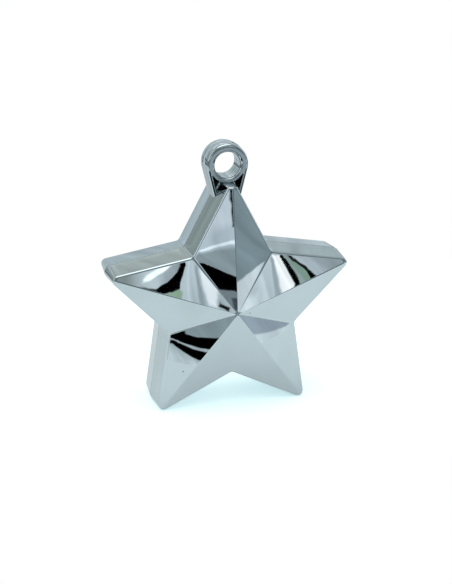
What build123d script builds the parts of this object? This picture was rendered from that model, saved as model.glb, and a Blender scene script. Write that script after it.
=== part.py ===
from build123d import *
import os
from math import atan2, cos, pi, radians, sin, tan

# Balloon weight: a five-pointed star in two plated plastic halves, glued together round a cast filling,
# with an eyelet for the ribbon on its top point. It stands on its two lower points.
# Millimetres, X to the right, Y to the rear, Z up. The origin is on the surface that it stands on,
# under the middle of the star. The halves meet on the seam plane, Y = 0.

# Star outline on the seam plane
arm_count = 5
tip_radius = 49.4  # centre to the point where the two sides of an arm would meet
notch_radius = 25.7  # centre to the inner corner between two arms
tip_round = 2.8  # rounding of the arm tips, inside the shell as well as outside

# Depth of one half
wall_depth = 11.2  # seam plane to the edge between side walls and facets
apex_depth = 18.6  # seam plane to the middle point of the facets
draft_angle = 4.1  # lean of the side walls, degrees

# Flats on the points
top_trim = 4.8  # length cut off the top point, under the eyelet
foot_trim = 0.4  # height cut off the two lower points, to stand on

# Shell wall and the lap joint along its rim
shell_wall = 1.8
lap_width = 0.9  # width of the step in the front rim
lap_height = 1.2  # height of the rear rim's tongue
lap_clearance = 0.1  # side gap between tongue and step
bead_height = 0.4  # glue between the tongue's end and the step's floor

# Eyelet
eyelet_rise = 6.3  # flat on the top point to the centre of the hole
hole_diameter = 9.3
ring_width = 3.25
eyelet_thickness = 9.5
leg_lean = 14.0  # degrees from upright
leg_reach = 6.6  # how far the legs run down below the flat
boss_width = 1.7  # ring that stays at full thickness round the hole
leg_width = 1.6
web_thickness = 3.0  # between the pockets of the two faces
hole_edge_round = 1.0
ring_edge_round = 0.9

# Filling
cast_gap = 0.2  # the mortar shrinks away from the wall by this much

# Worked out from the sizes above
half_step = pi / arm_count
draft = radians(draft_angle)
tip_half_angle = atan2(notch_radius * sin(half_step), tip_radius - notch_radius * cos(half_step))
side_distance = tip_radius * sin(tip_half_angle)  # centre to the line of any side, on the seam plane
facet_slope = atan2(apex_depth - wall_depth, side_distance - wall_depth * tan(draft))
round_centre = tip_radius - tip_round / sin(tip_half_angle)
centre_height = round_centre * cos(half_step) + tip_round - foot_trim
hole_radius = hole_diameter / 2
ring_radius = hole_radius + ring_width

# Heights above the star's centre
flat_height = tip_radius - top_trim
eyelet_height = flat_height + eyelet_rise
leg_foot_height = flat_height - leg_reach

# Seam plane with the star's centre as its origin, facing the front
seam = Plane(origin=(0, 0, centre_height), x_dir=(1, 0, 0), z_dir=(0, -1, 0))


def star_corners(distance):
    # corners of a star of the same proportions, with its sides at this distance from the centre
    scale = distance / side_distance
    corners = []
    for arm in range(arm_count):
        tip_turn = pi / 2 + 2 * half_step * arm
        for radius, turn in ((tip_radius, tip_turn), (notch_radius, tip_turn + half_step)):
            corners.append((scale * radius * cos(turn), scale * radius * sin(turn)))
    return corners


def star_face(inset):
    # flat star with rounded tips, set in from the outline
    with BuildSketch(mode=Mode.PRIVATE) as outline:
        Polygon(*star_corners(side_distance - inset), align=None)
        fillet(outline.vertices().group_by(SortBy.DISTANCE)[-1], tip_round)
    return outline.sketch


def half_star(inset):
    # solid front half, with walls, facets and flats set in from the outer skin
    facet_apex = apex_depth - inset / cos(facet_slope)
    with BuildPart(mode=Mode.PRIVATE) as half:
        with BuildSketch(seam):
            add(star_face(inset / cos(draft)))
        extrude(amount=apex_depth, taper=draft_angle)
        with BuildSketch(seam, mode=Mode.PRIVATE) as base:
            Polygon(*star_corners(facet_apex / tan(facet_slope)), align=None)
        apex = Vertex(0, -facet_apex, centre_height)
        loft(sections=[base.sketch.face(), apex], ruled=True, mode=Mode.INTERSECT)
        split(bisect_by=Plane.XY.offset(centre_height + flat_height - inset), keep=Keep.BOTTOM)
        split(bisect_by=Plane.XY.offset(inset), keep=Keep.TOP)
    return half.part


def leg_corners(inset):
    # the two legs under the ring as one trapezium, tangent to a circle set in from the ring
    lean = radians(leg_lean)
    radius = ring_radius - inset
    shoulder = (radius * cos(lean), eyelet_height - radius * sin(lean))
    foot = shoulder[0] - (shoulder[1] - leg_foot_height) * tan(lean)
    return [shoulder, (-shoulder[0], shoulder[1]), (-foot, leg_foot_height), (foot, leg_foot_height)]


def half_eyelet():
    # front half of the eyelet: a ring on two legs, with a pocket between them
    with BuildPart(mode=Mode.PRIVATE) as half:
        with BuildSketch(seam):
            with Locations((0, eyelet_height)):
                Circle(ring_radius)
            Polygon(*leg_corners(0), align=None)
        extrude(amount=eyelet_thickness / 2, taper=draft_angle)
        front = half.faces().sort_by(Axis.Y)[0]
        fillet(front.edges().sort_by(Axis.Z)[1:], ring_edge_round)
        with BuildSketch(seam.offset(web_thickness / 2)):
            Polygon(*leg_corners(leg_width), align=None)
            with Locations((0, eyelet_height)):
                Circle(hole_radius + boss_width, mode=Mode.SUBTRACT)
        extrude(amount=eyelet_thickness, mode=Mode.SUBTRACT)
        with BuildSketch(seam):
            with Locations((0, eyelet_height)):
                Circle(hole_radius)
        extrude(amount=eyelet_thickness, mode=Mode.SUBTRACT)
        hole_edges = half.edges(Select.LAST).filter_by(GeomType.CIRCLE)
        fillet(hole_edges.sort_by(Axis.Y)[0], hole_edge_round)
    return half.part


outer = half_star(0)
cavity = half_star(shell_wall)
eyelet = half_eyelet()
step_ring = star_face(shell_wall - lap_width) - star_face(shell_wall)
tongue_ring = star_face(shell_wall - lap_width + lap_clearance) - star_face(shell_wall)
filling = half_star(shell_wall + cast_gap)

# Front half, with a step along the inside of its rim
with BuildPart() as front_shell:
    add(outer)
    add(eyelet)
    add(cavity, mode=Mode.SUBTRACT)
    with BuildSketch(seam):
        add(step_ring)
    extrude(amount=lap_height + bead_height, mode=Mode.SUBTRACT)
front_shell.part.label = "front_shell"

# Rear half, with a tongue that fits the step
with BuildPart() as rear_shell:
    add(outer)
    add(eyelet)
    add(cavity, mode=Mode.SUBTRACT)
    mirror(about=Plane.XZ, mode=Mode.REPLACE)
    with BuildSketch(seam):
        add(tongue_ring)
    extrude(amount=lap_height)
rear_shell.part.label = "rear_shell"

# Hardened glue in front of the tongue
with BuildPart() as seam_adhesive:
    with BuildSketch(seam.offset(lap_height)):
        add(step_ring)
    extrude(amount=bead_height)
seam_adhesive.part.label = "seam_adhesive"

# Mortar cast into each half
with BuildPart() as front_ballast:
    add(filling)
    split(bisect_by=seam.offset(cast_gap / 2), keep=Keep.TOP)
front_ballast.part.label = "front_ballast"

with BuildPart() as rear_ballast:
    add(front_ballast.part)
    mirror(about=Plane.XZ, mode=Mode.REPLACE)
rear_ballast.part.label = "rear_ballast"

os.makedirs("parts", exist_ok=True)
export_step(front_shell.part, "parts/front_shell.step")
export_step(rear_shell.part, "parts/rear_shell.step")
export_step(seam_adhesive.part, "parts/seam_adhesive.step")
export_step(front_ballast.part, "parts/front_ballast.step")
export_step(rear_ballast.part, "parts/rear_ballast.step")

for piece in (front_shell, rear_shell, seam_adhesive, front_ballast, rear_ballast):
    size = piece.part.bounding_box().size
    print(f"{piece.part.label}: {len(piece.part.solids())} solid, {piece.part.volume:.0f} mm3, "
          f"{size.X:.1f} x {size.Y:.1f} x {size.Z:.1f} mm")
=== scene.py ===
from math import atan2, cos, pi, radians, sin, tan

import bmesh
import bpy
from mathutils import Matrix, Vector


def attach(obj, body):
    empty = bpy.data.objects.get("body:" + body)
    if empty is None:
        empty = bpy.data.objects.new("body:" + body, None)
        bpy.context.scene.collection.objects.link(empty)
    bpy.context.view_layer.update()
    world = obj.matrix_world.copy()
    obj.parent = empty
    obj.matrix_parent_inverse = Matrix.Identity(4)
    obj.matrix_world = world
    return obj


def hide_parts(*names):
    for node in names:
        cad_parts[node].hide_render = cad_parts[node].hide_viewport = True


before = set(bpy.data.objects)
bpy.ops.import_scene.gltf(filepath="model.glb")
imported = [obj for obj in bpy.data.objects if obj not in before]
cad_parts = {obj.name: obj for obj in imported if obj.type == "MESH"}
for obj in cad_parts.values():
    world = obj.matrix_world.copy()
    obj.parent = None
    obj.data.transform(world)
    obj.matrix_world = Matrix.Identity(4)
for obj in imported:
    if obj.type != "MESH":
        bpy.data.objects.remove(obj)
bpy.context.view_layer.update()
scene = bpy.context.scene
scene.view_settings.view_transform = "Standard"
print("frame loaded:", ", ".join(sorted(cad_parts)))
tiny = 1e-6  # allowance for rounding errors


# wraps a socket, so that shader maths can be written as plain expressions
class Wire:
    def __init__(self, socket):
        self.socket = socket
        self.tree = socket.id_data

    @staticmethod
    def node(tree, kind, settings=None, values=None, out=0):
        made = tree.nodes.new(kind)
        for key, value in (settings or {}).items():
            if key == "stops":  # colour ramp stops as (place, colour)
                ramp = made.color_ramp
                while len(ramp.elements) < len(value):
                    ramp.elements.new(1.0)
                for stop, (place, colour) in zip(ramp.elements, value):
                    stop.position = place
                    stop.color = (*colour, 1.0)
            else:
                setattr(made, key, value)
        for key, value in (values or {}).items():
            if isinstance(value, Wire):
                tree.links.new(value.socket, made.inputs[key])
            else:
                made.inputs[key].default_value = value
        return Wire(made.outputs[out])

    def math(self, operation, left, right=0.0):
        values = {0: left, 1: right}
        return Wire.node(self.tree, "ShaderNodeMath", {"operation": operation}, values)

    def __add__(self, other):
        return self.math("ADD", self, other)

    def __radd__(self, other):
        return self.math("ADD", other, self)

    def __sub__(self, other):
        return self.math("SUBTRACT", self, other)

    def __rsub__(self, other):
        return self.math("SUBTRACT", other, self)

    def __mul__(self, other):
        return self.math("MULTIPLY", self, other)

    def __rmul__(self, other):
        return self.math("MULTIPLY", other, self)

    def __truediv__(self, other):
        return self.math("DIVIDE", self, other)

    def __rtruediv__(self, other):
        return self.math("DIVIDE", other, self)

    def __abs__(self):
        return self.math("ABSOLUTE", self)

    def also(self, out):  # another output of the same node
        return Wire(self.socket.node.outputs[out])

    def least(self, other):
        return self.math("MINIMUM", self, other)

    def most(self, other):
        return self.math("MAXIMUM", self, other)

    def step(self, low, high):  # smooth step from 0 at low to 1 at high
        values = {"Value": self, "From Min": low, "From Max": high}
        return Wire.node(self.tree, "ShaderNodeMapRange", {"interpolation_type": "SMOOTHSTEP"}, values)


def newMaterial(name):
    material = bpy.data.materials.new(name)
    material.use_nodes = True
    material.node_tree.nodes.clear()
    return material, material.node_tree


def output(tree, shader):
    end = tree.nodes.new("ShaderNodeOutputMaterial")
    tree.links.new(shader.socket, end.inputs["Surface"])


def blend(mask, first, second):  # from the first colour to the second
    first, second = (c if isinstance(c, Wire) else (*c, 1) for c in (first, second))
    return Wire.node(mask.tree, "ShaderNodeMix", {"data_type": "RGBA"}, {0: mask, 6: first, 7: second}, out=2)


def vertsOf(geom):
    return [g for g in geom if isinstance(g, bmesh.types.BMVert)]


def facesOf(geom):
    return [g for g in geom if isinstance(g, bmesh.types.BMFace)]


def roundOff(bm, edges, size, steps):
    live = [e for e in edges if e.is_valid]
    bmesh.ops.bevel(bm, geom=live, offset=size, segments=steps, profile=0.5, material=-1, affect="EDGES",
                    clamp_overlap=True)


# the star, in metres, seen from the front with x to the right, y up and z out of its seam plane
star = {
    "arms": 5,
    "tipRadius": 0.0494,
    "notchRadius": 0.0257,
    "tipRound": 0.0028,
    "tipSteps": 12,
    "notchRound": 0.0005,
    "sideLeast": 0.01,  # longer edges of the outline are sides
    "sideCuts": 14,
    "wallDepth": 0.0112,
    "apexDepth": 0.0186,
    "draft": radians(4.1),
    "centreHeight": 0.037514,  # star centre above the floor
    "flatHeight": 0.0446,  # flat under the eyelet, above the star centre
    "wall": 0.0018,
    "roofWalls": 1.05,  # roof of the hollow below the apex, in walls
    "rings": 26,
    "edgeRound": 0.0006,
    "edgeSteps": 4,
    "jointHalf": 0.00012,  # half the width of the open joint outside the glued rim
    "jointDepth": 0.0006,
    "lipRound": 0.00006,
    "bow": 0.02,  # how far the facets bow, as a slope
}
halfStep = pi / star["arms"]
tipHalf = atan2(star["notchRadius"] * sin(halfStep), star["tipRadius"] - star["notchRadius"] * cos(halfStep))
sideDistance = star["tipRadius"] * sin(tipHalf)
topDistance = sideDistance - star["wallDepth"] * tan(star["draft"])  # side distance at the facets' outer edge
facetSlope = (star["apexDepth"] - star["wallDepth"]) / topDistance
sideTurn = pi / 2 - tipHalf  # turn of a side's normal from its tip


def fold(co):  # radius and turn from the nearest arm's middle line
    turn = (atan2(co.y, co.x) - pi / 2) % (2 * halfStep)
    return co.xy.length, min(turn, 2 * halfStep - turn)


def facetHeight(co):
    radius, turn = fold(co)
    return star["apexDepth"] - facetSlope * radius * cos(sideTurn - turn)


def facetBow(co):  # gentle conical bow about the notch, as the moulded facets have
    radius, turn = fold(co)
    shrink = topDistance / sideDistance
    notch = Vector((cos(halfStep), sin(halfStep))) * star["notchRadius"] * shrink
    toTip = Vector((star["tipRadius"] * shrink, 0)) - notch
    toHere = Vector((radius * cos(turn), radius * sin(turn))) - notch
    if toHere.length < tiny:
        return 0.0
    share = toTip.angle(toHere) / toTip.angle(-notch)
    return star["bow"] * toHere.length * sin(pi * min(max(share, 0.0), 1.0))


def drawOn(bm, face, shrink, about, lift=0.0):  # extrudes a face, shrinks its copy about a point and lifts it
    made = bmesh.ops.extrude_face_region(bm, geom=[face])["geom"]
    bmesh.ops.delete(bm, geom=[face], context="FACES_ONLY")
    verts = vertsOf(made)
    bmesh.ops.scale(bm, vec=(shrink,) * 3, space=Matrix.Translation(-about), verts=verts)
    bmesh.ops.translate(bm, vec=(0, 0, lift), verts=verts)
    return facesOf(made)[0]


def starHalf():
    bm = bmesh.new()
    arcCentre = star["tipRadius"] - star["tipRound"] / sin(tipHalf)
    lastEnd, firstStart, notches = None, None, []
    for arm in range(star["arms"]):
        middle = pi / 2 + 2 * halfStep * arm
        centre = Vector((cos(middle), sin(middle), 0)) * arcCentre
        away = Vector((cos(middle - sideTurn), sin(middle - sideTurn), 0)) * star["tipRound"]
        start = bm.verts.new(centre + away)
        arc = bmesh.ops.spin(bm, geom=[start], cent=centre, axis=(0, 0, 1), angle=2 * sideTurn,
                             steps=star["tipSteps"], use_duplicate=False)
        end = vertsOf(arc["geom_last"])[0]
        corner = middle + halfStep
        notch = bm.verts.new(Vector((cos(corner), sin(corner), 0)) * star["notchRadius"])
        bm.edges.new((end, notch))
        if lastEnd:
            bm.edges.new((lastEnd, start))
        else:
            firstStart = start
        lastEnd = notch
        notches.append(notch)
    bm.edges.new((lastEnd, firstStart))
    bmesh.ops.edgeloop_fill(bm, edges=bm.edges[:])
    bm.normal_update()
    bmesh.ops.bevel(bm, geom=notches, offset=star["notchRound"], segments=2, profile=0.5, material=-1,
                    affect="VERTICES")
    sides = [e for e in bm.edges if e.calc_length() > star["sideLeast"]]
    bmesh.ops.subdivide_edges(bm, edges=sides, cuts=star["sideCuts"])
    bm.normal_update()
    top = list(bm.faces)[0]
    if top.normal.z < 0:
        bmesh.ops.reverse_faces(bm, faces=[top])
        bm.normal_update()
    # drafted walls
    bmesh.ops.inset_region(bm, faces=[top], thickness=star["wallDepth"] * tan(star["draft"]),
                           depth=star["wallDepth"], use_boundary=True, use_even_offset=True)
    seamEdges = [e for e in bm.edges if e.is_boundary]
    for v in bm.verts:  # flats at the top and under the feet
        v.co.y = max(min(v.co.y, star["flatHeight"]), -star["centreHeight"])
    for v in top.verts:
        v.co.z = facetHeight(v.co)
    print("star walls:", len(bm.verts), "corners")
    # facets, drawn in ring by ring towards the apex
    apex = Vector((0, 0, star["apexDepth"]))
    edgeLoop = list(top.edges)
    for ring in range(1, star["rings"]):
        top = drawOn(bm, top, (star["rings"] - ring) / (star["rings"] - ring + 1), apex)
    tip = bmesh.ops.poke(bm, faces=[top])["verts"][0]
    tip.co = apex
    for v in bm.verts:
        if v.co.z > star["wallDepth"] - tiny:
            v.co.z += facetBow(v.co)
    bm.normal_update()
    # inside of the shell: the fine open joint, the rim it is glued along, and the hollow
    seamVerts = list({v for e in seamEdges for v in e.verts})
    bmesh.ops.translate(bm, vec=(0, 0, star["jointHalf"]), verts=seamVerts)
    floor = bmesh.ops.edgeloop_fill(bm, edges=seamEdges)["faces"][0]
    bm.normal_update()
    if floor.normal.z > 0:
        floor.normal_flip()
    origin = Vector((0, 0, 0))
    jointIn = 1 - star["jointDepth"] / sideDistance
    floor = drawOn(bm, floor, jointIn, Vector((0, 0, star["jointHalf"])))
    floor = drawOn(bm, floor, 1.0, origin, -star["jointHalf"])
    floor = drawOn(bm, floor, (1 - star["wall"] / sideDistance) / jointIn, origin)
    floor = drawOn(bm, floor, topDistance / sideDistance, origin, star["wallDepth"] - star["wall"])
    roof = bmesh.ops.poke(bm, faces=[floor])["verts"][0]
    roof.co = apex - Vector((0, 0, star["wall"] * star["roofWalls"]))
    # rounded edges
    bm.normal_update()
    roundOff(bm, edgeLoop, star["edgeRound"], star["edgeSteps"])
    roundOff(bm, seamEdges, star["lipRound"], 1)
    return bm


# eyelet on the top point, in the same view of the star
eyelet = {
    "holeRadius": 0.00465,
    "ringRadius": 0.0079,
    "bossRadius": 0.00635,
    "legWidth": 0.0016,
    "lean": radians(14),
    "height": 0.0509,  # hole centre above the star centre
    "foot": 0.0129,  # hole centre down to the ends of the legs
    "footRim": 0.0018,
    "bossDrop": 0.0006,  # inner loop of the plain ring, within the boss radius
    "loopGap": 0.0001,  # from there to the next loop
    "halfDepth": 0.00475,
    "webDepth": 0.0015,
    "holeRound": 0.0010,
    "ringRound": 0.0009,
    "lipRound": 0.0001,  # where the halves meet in the hole
    "pocketRound": 0.00018,
    "pocketLeast": 0.00025,  # width at which a pocket starts
    "shortest": 0.000005,  # edges shorter than this are closed up
    "bead": 0.0007,  # bead in the corner of a pocket, along the side of the top point
    "beadDepth": 0.0025,
    "beadTop": 0.0003,  # its upper end above the flat
    "beadDrop": 0.0042,  # its lower end below the upper one
    "beadSides": 14,
    "steps": 120,
}


def legReach(turn, radius, foot):  # distance from the hole centre to a ring with two legs
    folded = atan2(sin(turn), abs(cos(turn)))
    if folded > -eyelet["lean"]:
        return radius
    return min(radius / cos(folded + eyelet["lean"]), foot / -sin(folded))


def ringOn(bm, edges, reach, depth):  # extrudes a ring of edges, out to a reach for each turn about the hole
    made = bmesh.ops.extrude_edge_only(bm, edges=edges)["geom"]
    verts = vertsOf(made)
    for v in verts:
        turn = atan2(v.co.y, v.co.x)
        v.co = Vector((cos(turn) * reach(turn), sin(turn) * reach(turn), depth))
    return [e for e in bm.edges if e.verts[0] in verts and e.verts[1] in verts], facesOf(made)


def eyeletHalf():
    bm = bmesh.new()
    depth = eyelet["halfDepth"]
    drawIn = depth * tan(star["draft"])
    inLegs = eyelet["ringRadius"] - eyelet["legWidth"]

    def pocketReach(turn):
        return legReach(turn, inLegs, eyelet["foot"] - eyelet["footRim"])

    def opens(turn):  # room for a pocket between the legs
        return pocketReach(turn) > eyelet["bossRadius"] + eyelet["pocketLeast"]

    def boss(turn):
        return eyelet["bossRadius"] if opens(turn) else eyelet["bossRadius"] - eyelet["bossDrop"]

    def pocket(turn):
        return pocketReach(turn) if opens(turn) else boss(turn) + eyelet["loopGap"]

    def outside(turn):
        return legReach(turn, eyelet["ringRadius"] - drawIn, eyelet["foot"] - drawIn)

    def outsideSeam(turn):
        return legReach(turn, eyelet["ringRadius"], eyelet["foot"])

    def jointSeam(turn):
        return outsideSeam(turn) - star["jointDepth"]

    def hole(turn):
        return eyelet["holeRadius"]

    start = bmesh.ops.create_circle(bm, segments=eyelet["steps"], radius=eyelet["holeRadius"])["verts"]
    bmesh.ops.translate(bm, vec=(0, 0, depth), verts=start)
    holeEdge = bm.edges[:]
    bossEdge, _ = ringOn(bm, holeEdge, boss, depth)
    pocketEdge, pocketFaces = ringOn(bm, bossEdge, pocket, depth)
    outEdge, _ = ringOn(bm, pocketEdge, outside, depth)
    outSeam, _ = ringOn(bm, outEdge, outsideSeam, star["jointHalf"])
    jointEdge, _ = ringOn(bm, outSeam, jointSeam, star["jointHalf"])
    rimEdge, _ = ringOn(bm, jointEdge, jointSeam, 0.0)
    holeSeam, _ = ringOn(bm, rimEdge, hole, 0.0)
    bmesh.ops.bridge_loops(bm, edges=holeSeam + holeEdge)
    bmesh.ops.recalc_face_normals(bm, faces=bm.faces[:])
    # pockets between the legs, under the ring
    deep = [f for f in pocketFaces if all(opens(atan2(v.co.y, v.co.x)) for v in f.verts)]
    rimEdges = [e for f in deep for e in f.edges if sum(g in deep for g in e.link_faces) == 1]
    made = bmesh.ops.extrude_face_region(bm, geom=deep)["geom"]
    bmesh.ops.delete(bm, geom=deep, context="FACES")
    bmesh.ops.translate(bm, vec=(0, 0, eyelet["webDepth"] - depth), verts=vertsOf(made))
    bmesh.ops.recalc_face_normals(bm, faces=bm.faces[:])
    bm.normal_update()
    # rounded edges
    for ring, size, steps in ((holeEdge, "holeRound", 5), (outEdge, "ringRound", 4),
                              (holeSeam, "lipRound", 2), (rimEdges, "pocketRound", 2)):
        roundOff(bm, ring, eyelet[size], steps)
    bmesh.ops.dissolve_degenerate(bm, edges=bm.edges[:], dist=eyelet["shortest"])
    # beads in the pockets, where the web meets the sides of the top point
    tip = star["tipRadius"] - eyelet["beadDepth"] * tan(star["draft"]) / sin(tipHalf) - eyelet["height"]
    middle = star["flatHeight"] - eyelet["height"] + eyelet["beadTop"] - eyelet["beadDrop"] / 2
    aside = (tip - middle) * tan(tipHalf)
    for side in (-1, 1):
        made = bmesh.ops.create_cone(bm, cap_ends=True, segments=eyelet["beadSides"], radius1=eyelet["bead"],
                                     radius2=eyelet["bead"], depth=eyelet["beadDrop"] / cos(tipHalf))["verts"]
        bmesh.ops.rotate(bm, matrix=Matrix.Rotation(pi / 2, 3, "X"), verts=made)
        bmesh.ops.rotate(bm, matrix=Matrix.Rotation(side * tipHalf, 3, "Z"), verts=made)
        bmesh.ops.translate(bm, vec=(side * aside, middle, eyelet["beadDepth"]), verts=made)
    bmesh.ops.translate(bm, vec=(0, eyelet["height"], 0), verts=bm.verts[:])
    return bm


def shellSkin(name, node, facing):
    mesh = bpy.data.meshes.new(name)
    whole = bmesh.new()
    for part in (starHalf(), eyeletHalf()):
        part.to_mesh(mesh)
        whole.from_mesh(mesh)
        part.free()
    # local z points out of the seam, to the front or the rear
    stand = Matrix(((1, 0, 0, 0), (0, 0, facing, 0), (0, 1, 0, star["centreHeight"]), (0, 0, 0, 1)))
    bmesh.ops.transform(whole, matrix=stand, verts=whole.verts[:])
    bmesh.ops.recalc_face_normals(whole, faces=whole.faces[:])
    for f in whole.faces:
        f.smooth = True
    whole.to_mesh(mesh)
    whole.free()
    piece = bpy.data.objects.new(name, mesh)
    scene.collection.objects.link(piece)
    # keeps walls and facets flat up to their rounded edges
    even = piece.modifiers.new("even", "WEIGHTED_NORMAL")
    even.weight = 100
    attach(piece, "root")
    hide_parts(node)
    print(name, len(mesh.polygons), "faces")
    return piece


frontSkin = shellSkin("front_skin", "front_shell", -1)
rearSkin = shellSkin("rear_skin", "rear_shell", 1)


# mirror plating on the mouldings, where each pair of values is the start and the end of a fade
plating = {
    "colour": (0.47, 0.548, 0.574),
    "thin": (0.435, 0.51, 0.53),  # slightly darker where the plating is thin
    "thinFade": (0.4, 0.72),
    "patchScale": 45.0,
    "roughness": 0.010,
    "haze": 0.008,
    "joint": (0.00021, 0.0007),  # hazy band along the joint, on either side
    "jointHaze": 0.12,
    "lineScale": 1000.0,  # draw lines along the walls
    "lineFade": (0.42, 0.72),
    "lineShade": 0.87,
    "lineEnds": (0.93, 0.97),  # where they stop, in wall depths
    "rippleScale": 170.0,  # orange peel
    "rippleHeight": 0.000004,
    "speckScale": 31.0,
    "speckFade": (0.00425, 0.0085),
    "speckShade": 0.12,
    "speckHaze": 0.3,
    # painted shade in the pockets under the ring: how dark it is, and where it fades out
    "pocketPaintedShade": 0.22,
    "pocketTop": (-0.005, -0.0045),  # from the hole centre
    "pocketLegs": (0.0001, 0.0004),  # into the legs
    "pocketBoss": 0.0001,  # into the ring round the hole
    "pocketBead": 0.0002,  # into the beads
    "pocketFace": (0.0008, 0.0003),  # under the outer faces
}


def platingMaterial():
    material, tree = newMaterial("chrome_plating")
    place = Wire.node(tree, "ShaderNodeTexCoord", out="Object")
    x = Wire.node(tree, "ShaderNodeSeparateXYZ", {}, {0: place}, out="X")
    y, z = x.also("Y"), x.also("Z")
    depth = abs(y)

    def shaded(share):
        return [c * share for c in plating["colour"]]

    patch = Wire.node(tree, "ShaderNodeTexNoise", {}, {
        "Vector": place, "Scale": plating["patchScale"], "Detail": 4.0})
    thin = patch.step(*plating["thinFade"])
    colour = blend(thin, plating["colour"], plating["thin"])
    line = Wire.node(tree, "ShaderNodeTexNoise", {"noise_dimensions": "1D"}, {
        "W": y, "Scale": plating["lineScale"], "Detail": 3.0})
    low, high = (star["wallDepth"] * share for share in plating["lineEnds"])
    line = line.step(*plating["lineFade"]) * (1 - depth.step(low, high))
    colour = blend(line, colour, shaded(plating["lineShade"]))
    # a few pin specks in the plating
    flat = Wire.node(tree, "ShaderNodeCombineXYZ", {}, {0: x, 1: z, 2: 0.0})
    speck = Wire.node(tree, "ShaderNodeTexVoronoi", {"voronoi_dimensions": "2D"}, {
        "Vector": flat, "Scale": plating["speckScale"]}, out="Distance")
    speck = 1 - speck.step(*plating["speckFade"])
    colour = blend(speck, colour, shaded(plating["speckShade"]))
    # painted shade in the pockets under the ring: the plating's colour is darkened where shade falls between
    # the legs
    rise = z - (star["centreHeight"] + eyelet["height"])
    away = x.math("SQRT", x * x + rise * rise)
    span = abs(x) * cos(eyelet["lean"]) - rise * sin(eyelet["lean"])
    off = abs(x) * cos(tipHalf) + (rise + (eyelet["height"] - star["tipRadius"])) * sin(tipHalf)
    low, high = (eyelet["ringRadius"] - eyelet["legWidth"] + reach for reach in plating["pocketLegs"])
    pocket = 1 - span.step(low, high)
    pocket = pocket * away.step(eyelet["bossRadius"] - plating["pocketBoss"], eyelet["bossRadius"])
    pocket = pocket * off.step(eyelet["bead"] - plating["pocketBead"], eyelet["bead"])
    pocket = pocket * (1 - rise.step(*plating["pocketTop"]))
    low, high = (eyelet["halfDepth"] - under for under in plating["pocketFace"])
    pocket = pocket * (1 - depth.step(low, high))
    colour = blend(pocket, colour, shaded(plating["pocketPaintedShade"]))
    joint = 1 - depth.step(*plating["joint"])
    rough = thin * plating["haze"] + joint * plating["jointHaze"] + speck * plating["speckHaze"]
    peel = Wire.node(tree, "ShaderNodeTexNoise", {}, {
        "Vector": place, "Scale": plating["rippleScale"], "Detail": 1.0})
    bump = Wire.node(tree, "ShaderNodeBump", {}, {
        "Strength": 1.0, "Distance": plating["rippleHeight"], "Height": peel})
    shader = Wire.node(tree, "ShaderNodeBsdfPrincipled", {}, {
        "Base Color": colour, "Metallic": 1.0, "Roughness": rough + plating["roughness"], "Normal": bump})
    output(tree, shader)
    return material


chrome = platingMaterial()
for piece in (frontSkin, rearSkin):
    piece.data.materials.append(chrome)
print("plating done")

# sand and cement filling, hidden in the shells
mortar = {
    "cement": (0.50, 0.48, 0.45),
    "sand": (0.30, 0.26, 0.21),
    "sandFade": (0.55, 0.68),
    "pale": (0.66, 0.64, 0.60),
    "paleFade": (0.35, 0.7),
    "cloudScale": 75.0,
    "grainScale": 900.0,
    "grainShare": 0.4,  # height of the grains, in pore depths
    "poreScale": 420.0,
    "poreFade": (0.05, 0.35),
    "poreDepth": 0.0003,
    "roughness": 0.78,
    "grainHaze": 0.2,
}


def mortarMaterial():
    material, tree = newMaterial("cast_mortar")
    place = Wire.node(tree, "ShaderNodeTexCoord", out="Object")
    grain = Wire.node(tree, "ShaderNodeTexNoise", {}, {
        "Vector": place, "Scale": mortar["grainScale"], "Detail": 3.0})
    cloud = Wire.node(tree, "ShaderNodeTexNoise", {}, {"Vector": place, "Scale": mortar["cloudScale"]})
    pore = Wire.node(tree, "ShaderNodeTexVoronoi", {}, {
        "Vector": place, "Scale": mortar["poreScale"]}, out="Distance")
    colour = blend(cloud.step(*mortar["paleFade"]), mortar["cement"], mortar["pale"])
    colour = blend(grain.step(*mortar["sandFade"]), colour, mortar["sand"])
    bump = Wire.node(tree, "ShaderNodeBump", {}, {
        "Strength": 1.0, "Distance": mortar["poreDepth"],
        "Height": pore.step(*mortar["poreFade"]) + grain * mortar["grainShare"]})
    shader = Wire.node(tree, "ShaderNodeBsdfPrincipled", {}, {
        "Base Color": colour, "Roughness": grain * mortar["grainHaze"] + mortar["roughness"], "Normal": bump})
    output(tree, shader)
    return material


# clear glue along the rims
glue = {
    "colour": (0.72, 0.64, 0.42),
    "thick": (0.55, 0.43, 0.22),
    "thickFade": (0.35, 0.7),
    "flowScale": 160.0,
    "flowSwirl": 0.8,
    "flowDepth": 0.0001,
    "roughness": 0.15,
    "flowHaze": 0.25,
}


def glueMaterial():
    material, tree = newMaterial("rim_glue")
    place = Wire.node(tree, "ShaderNodeTexCoord", out="Object")
    flow = Wire.node(tree, "ShaderNodeTexNoise", {}, {
        "Vector": place, "Scale": glue["flowScale"], "Detail": 2.0, "Distortion": glue["flowSwirl"]})
    colour = blend(flow.step(*glue["thickFade"]), glue["colour"], glue["thick"])
    bump = Wire.node(tree, "ShaderNodeBump", {}, {
        "Strength": 1.0, "Distance": glue["flowDepth"], "Height": flow})
    shader = Wire.node(tree, "ShaderNodeBsdfPrincipled", {}, {
        "Base Color": colour, "Roughness": flow * glue["flowHaze"] + glue["roughness"], "Normal": bump})
    output(tree, shader)
    return material


castMortar, rimGlue = mortarMaterial(), glueMaterial()
for node, material in (("front_ballast", castMortar), ("rear_ballast", castMortar), ("seam_adhesive", rimGlue)):
    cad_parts[node].data.materials.clear()
    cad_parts[node].data.materials.append(material)
print("filling and glue done")


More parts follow.
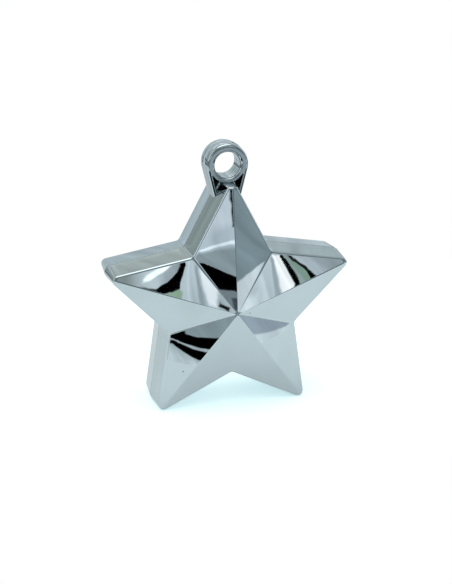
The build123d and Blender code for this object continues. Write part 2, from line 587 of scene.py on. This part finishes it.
# small white table top as the floor
stage = {
    "low": (-0.45, -0.072),
    "high": (0.15, 0.14),
    "colour": (0.80, 0.87, 0.88),
    "mirrorLift": 0.29,  # added where a mirror sees it, so that it is white
    "dimRear": 0.22,  # less of it behind the star
    "dimFade": (-0.01, 0.05),
    "cameraLift": (0.41, 0.57, 0.60),  # added where the camera sees it
}
bm = bmesh.new()
bmesh.ops.create_grid(bm, x_segments=1, y_segments=1, size=0.5)
(lowX, lowY), (highX, highY) = stage["low"], stage["high"]
bmesh.ops.scale(bm, vec=(highX - lowX, highY - lowY, 1), verts=bm.verts[:])
bmesh.ops.translate(bm, vec=((highX + lowX) / 2, (highY + lowY) / 2, 0), verts=bm.verts[:])
mesh = bpy.data.meshes.new("floor")
bm.to_mesh(mesh)
bm.free()
floor = bpy.data.objects.new("floor", mesh)
scene.collection.objects.link(floor)
material, tree = newMaterial("white_floor")
rays = Wire.node(tree, "ShaderNodeLightPath", out="Is Camera Ray")
mirrored = rays.also("Is Glossy Ray").most(rays.also("Is Transmission Ray"))
paper = Wire.node(tree, "ShaderNodeBsdfDiffuse", {}, {"Color": (*stage["colour"], 1)})
place = Wire.node(tree, "ShaderNodeTexCoord", out="Object")
depth = Wire.node(tree, "ShaderNodeSeparateXYZ", {}, {0: place}, out="Y")
lift = stage["mirrorLift"] - depth.step(*stage["dimFade"]) * stage["dimRear"]
bounce = Wire.node(tree, "ShaderNodeEmission", {}, {"Strength": mirrored * lift})
seen = Wire.node(tree, "ShaderNodeEmission", {}, {"Color": (*stage["cameraLift"], 1), "Strength": rays})
both = Wire.node(tree, "ShaderNodeAddShader", {}, {0: bounce, 1: seen})
output(tree, Wire.node(tree, "ShaderNodeAddShader", {}, {0: paper, 1: both}))
mesh.materials.append(material)

# studio surroundings, by turn (0 to the front, plus to the right) and height above the horizon, in degrees
studio = {
    "level": 1.2,
    "fill": 0.75,
    "wobble": 0.08,
    "wobbleScale": 90.0,
    "streak": 0.88,
    "streakTurn": 1.1,  # streaks to a degree of turn
    "streakLean": 0.45,
    "streakHeight": 0.16,
    "heights": [(-90, (0.60, 0.64, 0.66)), (-6, (0.54, 0.61, 0.65)), (14, (0.50, 0.57, 0.60)),
                (28, (0.60, 0.63, 0.60)), (50, (0.45, 0.48, 0.48)), (60, (0.47, 0.50, 0.50)),
                (67, (1.7, 1.72, 1.74)), (90, (1.9, 1.92, 1.94))],
    # corners, colour, softness of the edges
    "panels": [
        # dim front of the room, with a paler patch low down
        ([(-105, -75), (105, -75), (105, 48), (-105, 48)], (0.20, 0.23, 0.24), 14),
        ([(2, -24), (32, -24), (32, -7), (2, -7)], (0.43, 0.48, 0.52), 4),
        # rear left: a grey board with a dark mark
        ([(-163, 14), (-138, 14), (-138, 0), (-156, -1)], (0.36, 0.40, 0.39), 3),
        ([(-156.2, 12.2), (-155.0, 12.2), (-154.7, 13.5), (-156.0, 13.5)], (0.02, 0.02, 0.02), 0.25),
        # softboxes at the sides
        ([(-88, 5), (-62, 5), (-62, 52), (-88, 52)], (1.2, 1.25, 1.25), 3),
        ([(84, 3), (104, 3), (104, 46), (84, 46)], (1.0, 1.05, 1.05), 3),
        # dark cards low on the right and upright on the left
        ([(60, -55), (125, -55), (125, -17), (60, -17)], (0.01, 0.015, 0.015), 3),
        ([(-126, -8), (-118, -8), (-118, 22), (-126, 22)], (0.01, 0.02, 0.02), 0.8),
        # rear: light boards with dark bars, and a dark shelf edge
        ([(163, 20), (178, 20), (178, 27), (163, 27)], (0.95, 0.97, 1.0), 2),
        ([(168, 26), (172, 26), (175, 40), (171, 40)], (0.12, 0.14, 0.15), 1.2),
        ([(-178, 20.5), (-164, 20.5), (-164, 27.5), (-178, 27.5)], (0.85, 0.88, 0.92), 2),
        ([(-172, 26), (-168, 26), (-171, 40), (-175, 40)], (0.12, 0.14, 0.15), 1.2),
        ([(124, 4), (147, 4), (147, 19), (124, 19)], (0.90, 0.92, 0.95), 0.5),
        ([(133, 3.5), (136, 3.5), (140.5, 19.5), (138.5, 19.5)], (0, 0, 0), 0.08),
        ([(126, 4), (129, 4), (131, 19), (127.5, 19)], (0.40, 0.44, 0.45), 0.2),
        ([(-141, 9), (-127, 4), (-127, 20), (-141, 20)], (0.90, 0.92, 0.95), 0.4),
        ([(-134, 5), (-131.5, 5), (-135, 20.5), (-137.5, 20.5)], (0, 0, 0), 0.08),
        ([(136, -0.4), (157, 0.2), (157, 0.7), (136, 0.3)], (1.1, 1.12, 1.16), 0.1),
        ([(136, -2.2), (162, -1.2), (162, -3.4), (136, -4.6)], (0, 0, 0), 0.05),
        ([(136, -4.6), (162, -3.4), (162, -9), (136, -9)], (0.30, 0.34, 0.36), 0.05),
        ([(-162, -1.6), (-136, -2.6), (-136, -5), (-162, -3.8)], (0, 0, 0), 0.05),
        ([(-162, -3.8), (-136, -5), (-136, -9), (-162, -9)], (0.30, 0.34, 0.36), 0.05),
        ([(110, -12.2), (175, -11.6), (175, -50), (110, -50)], (0.76, 0.81, 0.83), 0.15),
        ([(-175, -11.6), (-110, -12.2), (-110, -50), (-175, -50)], (0.76, 0.81, 0.83), 0.15),
        ([(150, -11.9), (179, -11.5), (179, -50), (150, -50)], (0.55, 0.59, 0.62), 4),
        ([(-179, -11.5), (-150, -11.9), (-150, -50), (-179, -50)], (0.50, 0.55, 0.57), 4),
        ([(118, -9.4), (160, -8.6), (160, -11.4), (118, -12)], (0, 0, 0), 0.06),
        ([(-160, -8.6), (-118, -9.4), (-118, -12), (-160, -11.4)], (0, 0, 0), 0.06),
        ([(92, -7.5), (116, -6.5), (116, -9.5), (92, -11)], (0, 0, 0), 0.08),
        ([(-116, -6.5), (-92, -7.5), (-92, -11), (-116, -9.5)], (0, 0, 0), 0.08),
        # light board at the front, with dark bars and a green card under it
        ([(0, 14), (14.5, 14), (14.5, 26), (0, 26)], (0.79, 0.83, 0.87), 0.5),
        ([(0, 14), (4.3, 14), (4.3, 26), (0, 26)], (0.40, 0.43, 0.42), 0.5),
        ([(5.6, 20.6), (6.3, 21.4), (6.8, 21.4), (6.6, 20.0), (5.8, 19.6)], (0.52, 0.55, 0.57), 0.25),
        ([(4.72, 20.3), (4.75, 20.48), (5.2, 20.8), (5.9, 21.15), (6.3, 21.15), (5.1, 20.33)],
         (1.75, 1.75, 1.75), 0.07),
        ([(6.45, 21.6), (6.95, 21.6), (7.15, 20.4), (7.46, 19.3), (7.36, 18.82), (6.6, 18.9)], (0, 0, 0), 0.05),
        ([(5.95, 19.75), (6.35, 20.12), (6.8, 20.35), (7.36, 18.82), (6.6, 18.98)], (0, 0, 0), 0.05),
        ([(5.25, 19.72), (6.1, 19.85), (6.9, 19.7), (7.2, 18.84), (6.2, 19.13), (5.2, 19.5)], (0, 0, 0), 0.04),
        ([(4.6, 20.12), (5.5, 19.74), (5.5, 19.5), (4.6, 19.9)], (0.05, 0.06, 0.06), 0.04),
        ([(6.1, 19.14), (7.3, 18.8), (7.75, 18.6), (7.75, 18.0), (6.1, 18.8)], (0.46, 0.60, 0.44), 0.05),
        ([(9.75, 15), (10.28, 15), (10.2, 21), (9.75, 21)], (0.48, 0.52, 0.56), 0.18),
        ([(10.3, 17.6), (10.4, 18.6), (10.25, 20.0), (11.3, 19.8), (11.35, 18.3), (11.0, 17.6)],
         (1.3, 1.28, 1.3), 0.1),
        ([(11.5, 19.0), (11.2, 17.9), (11.0, 17.0), (12.5, 17.0)], (0.68, 0.72, 0.75), 0.12),
        ([(11.1, 17.64), (11.25, 17.79), (11.76, 17.5), (11.66, 17.34)], (0, 0, 0), 0.03),
        # light board to the right of it, with dark bars and green cards
        ([(15.5, 12), (31, 12), (31, 25), (15.5, 25)], (0.84, 0.88, 0.92), 0.5),
        ([(19.4, 16.6), (19.6, 17.3), (20.2, 17.25), (20.3, 16.6)], (1.1, 1.12, 1.15), 0.2),
        ([(21.7, 12), (22.35, 12), (22.3, 25), (21.75, 25)], (0.58, 0.62, 0.67), 0.15),
        ([(22.45, 12), (24.3, 12), (24.6, 19), (22.6, 19)], (1.6, 1.48, 1.46), 0.22),
        ([(24.05, 12), (31, 12), (31, 25), (24.6, 25)], (0.70, 0.73, 0.77), 0.12),
        ([(24.2, 16.0), (24.3, 18.2), (24.55, 19.2), (24.72, 19.8), (25.3, 19.45), (26.1, 18.3), (26.25, 17.5),
          (26.2, 16)], (0.44, 0.51, 0.49), 0.05),
        ([(25.3, 16.0), (25.25, 19), (25.5, 19), (25.95, 18), (25.9, 16)], (0.35, 0.47, 0.38), 0.1),
        ([(24.72, 19.9), (24.86, 19.9), (24.97, 18.5), (24.92, 17.8), (24.72, 16.8), (24.3, 16.8),
          (24.34, 18.3)], (0, 0, 0), 0.05),
        ([(24.02, 17.1), (24.5, 17.5), (24.75, 17.3), (24.3, 16.8), (24.02, 16.9)], (0, 0, 0), 0.05),
        ([(25.1, 19.4), (25.42, 19.35), (26.05, 18.25), (25.8, 18.25)], (0, 0, 0), 0.04),
        ([(25.78, 18.35), (26.02, 18.35), (26.2, 17.9), (26.2, 17.6), (25.8, 17.6)], (0, 0, 0), 0.04),
        ([(27.6, 17), (26.75, 18.3), (26.1, 19.3), (25.9, 25), (31, 25), (31, 12)], (0.49, 0.52, 0.55), 0.2),
        # bench in front on the left, with a dark upright over it
        ([(-33, -9), (-13, -9), (-13, 7), (-33, 7)], (0.40, 0.45, 0.47), 1.0),
        ([(-33, 0.1), (-13, 0.1), (-13, 12), (-33, 12)], (0.68, 0.72, 0.77), 0.3),
        ([(-33, 2.3), (-13, 1.7), (-13, 6), (-33, 6)], (0.88, 0.90, 0.97), 0.4),
        ([(-33, 0.62), (-19, 0.42), (-13, 0.35), (-13, 0.7), (-19, 0.78), (-33, 1.0)], (1.2, 1.22, 1.29), 0.1),
        ([(-33, -2.0), (-20.7, -2.38), (-19.2, -2.96), (-17, -3.8), (-17, -4.0), (-33, -4.0)], (0, 0, 0), 0.05),
        ([(-33, -4.0), (-17, -4.0), (-17, -9), (-33, -9)], (0.30, 0.33, 0.36), 0.05),
        ([(-19.65, -4.3), (-19.35, -4.3), (-19.4, -4.9), (-19.6, -4.8)], (0.08, 0.1, 0.11), 0.06),
        ([(-20.14, 12), (-19.4, 12), (-19.4, 1.75), (-19.68, 1.8), (-20.05, 3.2)], (0, 0, 0), 0.06),
        # bench in front on the right
        ([(38, -12), (64, -12), (64, 8), (38, 8)], (0.31, 0.365, 0.395), 1.5),
        ([(38, -10.6), (49.2, -5.75), (50.7, -5.05), (62, -1.1), (64, -12), (38, -12)],
         (0.92, 0.93, 0.96), 0.1),
        # edges of the table top, and the dark floor beyond
        ([(-28.5, -24), (-12, -24), (-12, -11), (-28.5, -11)], (0, 0, 0), 0.1),
        ([(-23.65, -12.7), (-23.15, -12.95), (-12, -12.98), (-12, -10.5), (-23.8, -10.5)],
         (0.37, 0.43, 0.45), 0.05),
        ([(-28, -15.05), (-28, -15.2), (-21.5, -14.2), (-21.5, -13.85)], (0.55, 0.58, 0.61), 0.06),
        ([(-60, -11.5), (-27.3, -14.6), (-27.3, -40), (-60, -40)], (0.74, 0.79, 0.80), 0.3),
        ([(-45, -15.0), (-12, -15.65), (-12, -40), (-45, -40)], (0.58, 0.62, 0.64), 0.05),
        ([(-45, -15.35), (-12, -16.0), (-12, -40), (-45, -40)], (0.80, 0.85, 0.865), 0.35),
        ([(-75, -33.5), (-12, -19.8), (6, -16.4), (6, -24), (-40, -36), (-75, -42)], (0.02, 0.03, 0.03), 0.5),
        ([(44, -24), (66, -24), (66, -11), (44, -11)], (0.45, 0.50, 0.56), 0.5),
        ([(40, -13.6), (70, -15.0), (70, -40), (40, -40)], (0.87, 0.92, 0.935), 0.12),
        ([(33, -16.5), (48.5, -16.5), (54, -19), (110, -19), (125, -45), (33, -45)], (0.01, 0.015, 0.015), 0.4),
    ],
}


def paint(colour, place, corners, shade, soft):  # lays one panel over what is there
    area = sum(p[0] * q[1] - p[1] * q[0] for p, q in zip(corners, corners[1:] + corners[:1]))
    inside = None
    for p, q in zip(corners, corners[1:] + corners[:1]):
        run = Vector((q[0] - p[0], q[1] - p[1])).normalized() * (1 if area > 0 else -1)
        plane = (-run.y, run.x, run.y * p[0] - run.x * p[1])
        side = Wire.node(place.tree, "ShaderNodeVectorMath", {"operation": "DOT_PRODUCT"},
                         {0: place, 1: plane}, out="Value")
        inside = inside.least(side) if inside else side
    return blend(inside.step(-soft, soft), colour, [c * studio["level"] for c in shade])


world = bpy.data.worlds.new("studio")
scene.world = world
world.use_nodes = True
tree = world.node_tree
tree.nodes.clear()
ray = Wire.node(tree, "ShaderNodeTexCoord", out="Generated")
x = Wire.node(tree, "ShaderNodeSeparateXYZ", {}, {0: ray}, out="X")
turn = x.math("ARCTAN2", x, 0 - x.also("Y")) * (180 / pi)
height = x.math("ARCSINE", x.also("Z")) * (180 / pi)
stir = Wire.node(tree, "ShaderNodeTexNoise", {}, {
    "Vector": ray, "Scale": studio["wobbleScale"], "Detail": 2.0}, out="Color")
stir = Wire.node(tree, "ShaderNodeSeparateColor", {}, {0: stir}, out=0)
place = Wire.node(tree, "ShaderNodeCombineXYZ", {}, {
    0: turn + (stir - 0.5) * studio["wobble"],
    1: height + (stir.also(1) - 0.5) * studio["wobble"],
    2: 1.0})
stops = [((h + 90) / 180, [c * studio["level"] for c in shade]) for h, shade in studio["heights"]]
colour = Wire.node(tree, "ShaderNodeValToRGB", {"stops": stops}, {0: (height + 90) / 180})
for corners, shade, soft in studio["panels"]:
    colour = paint(colour, place, corners, shade, soft)
# soft streaks over everything
along = Wire.node(tree, "ShaderNodeCombineXYZ", {}, {
    0: turn * studio["streakTurn"] + height * studio["streakLean"], 1: height * studio["streakHeight"], 2: 0.0})
smear = Wire.node(tree, "ShaderNodeTexNoise", {}, {"Vector": along, "Scale": 1.0, "Detail": 3.0})
colour = Wire.node(tree, "ShaderNodeVectorMath", {"operation": "SCALE"}, {
    0: colour, "Scale": (smear - 0.5) * studio["streak"] + 1.0})
room = Wire.node(tree, "ShaderNodeBackground", {}, {"Color": colour, "Strength": 1.0})
rays = Wire.node(tree, "ShaderNodeLightPath", out="Is Camera Ray")
plain = rays * (1 - studio["fill"]) + studio["fill"]  # white to the camera, an even fill light otherwise
white = Wire.node(tree, "ShaderNodeBackground", {}, {"Color": (1, 1, 1, 1), "Strength": plain})
mirrored = rays.also("Is Glossy Ray").most(rays.also("Is Transmission Ray"))
surround = Wire.node(tree, "ShaderNodeMixShader", {}, {0: mirrored, 1: white, 2: room})
end = tree.nodes.new("ShaderNodeOutputWorld")
tree.links.new(surround.socket, end.inputs["Surface"])
print("studio:", len(studio["panels"]), "panels,", len(tree.nodes), "nodes")

# large softbox overhead
lampSet = {"size": 1.2, "power": 4.0, "place": (-0.15, -0.1, 1.1)}
lamp = bpy.data.lights.new("softbox", "AREA")
lamp.shape = "SQUARE"
lamp.size = lampSet["size"]
lamp.energy = lampSet["power"]
lampObject = bpy.data.objects.new("softbox", lamp)
lampObject.location = lampSet["place"]
lampObject.rotation_euler = (-Vector(lampSet["place"])).to_track_quat("-Z", "Y").to_euler()
lampObject.visible_glossy = False  # the surroundings stand for it in reflections
scene.collection.objects.link(lampObject)

# camera, fitted to the edges of the star in the photograph
view = {
    "azimuth": radians(-15.3288),
    "elevation": radians(18.9597),
    "roll": radians(0.1307),
    "distance": 0.50772,
    "target": Vector((0.00070, 0.0, 0.03971)),
    "focal": 1385.68,  # in pixels
    "frame": 584,  # long side, in pixels
    "sensor": 36,  # long side, in millimetres
}
camera = bpy.data.cameras.new("camera")
camera.lens = view["focal"] * view["sensor"] / view["frame"]
camera.sensor_width = view["sensor"]
camera.clip_start, camera.clip_end = 0.01, 20
cameraObject = bpy.data.objects.new("camera", camera)
scene.collection.objects.link(cameraObject)
a, e = view["azimuth"], view["elevation"]
back = Vector((sin(a) * cos(e), -cos(a) * cos(e), sin(e)))
look = (-back).to_track_quat("-Z", "Y").to_matrix() @ Matrix.Rotation(view["roll"], 3, "Z")
cameraObject.matrix_world = Matrix.Translation(view["target"] + back * view["distance"]) @ look.to_4x4()
scene.camera = cameraObject
print("stage and camera set")

bpy.context.view_layer.update()
